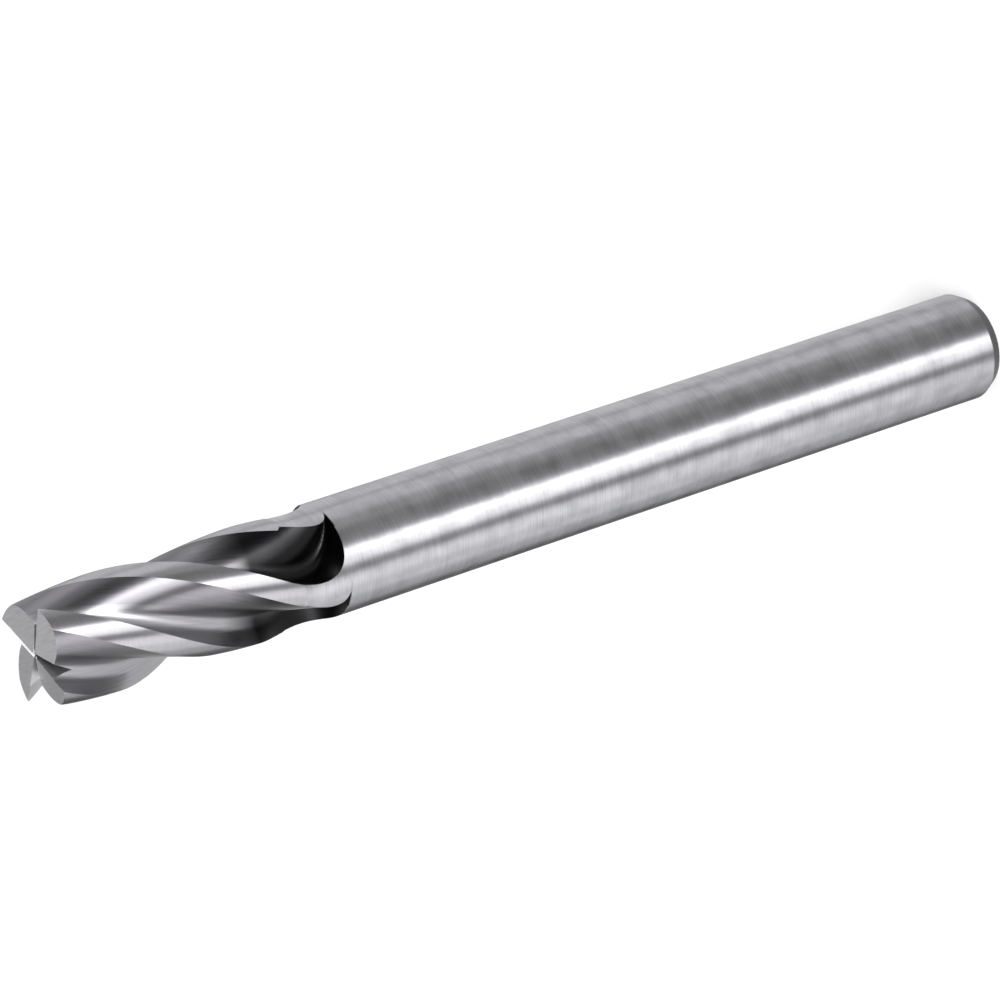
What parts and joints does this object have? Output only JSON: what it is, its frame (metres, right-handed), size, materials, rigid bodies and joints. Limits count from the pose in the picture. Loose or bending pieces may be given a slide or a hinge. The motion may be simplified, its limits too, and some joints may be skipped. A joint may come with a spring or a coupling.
{
  "type": "end mill",
  "caption": "Square-end milling cutter with right-hand helical flutes on a plain round shank, standing on its shank end.",
  "frame": {"origin": "centre of the flat shank end, on which the tool stands", "axes": "+Z along the tool's axis, from the shank end to the cutting end; +X and +Y are square to it, with one cutting corner 44 degrees from +X towards +Y"},
  "size_m": [0.006, 0.006, 0.06],
  "materials": {
    "ground_steel": "uncoated high-speed steel, ground bright all over"
  },
  "bodies": {
    "root": {"end_mill": "ground_steel"}
  },
  "joints": []
}
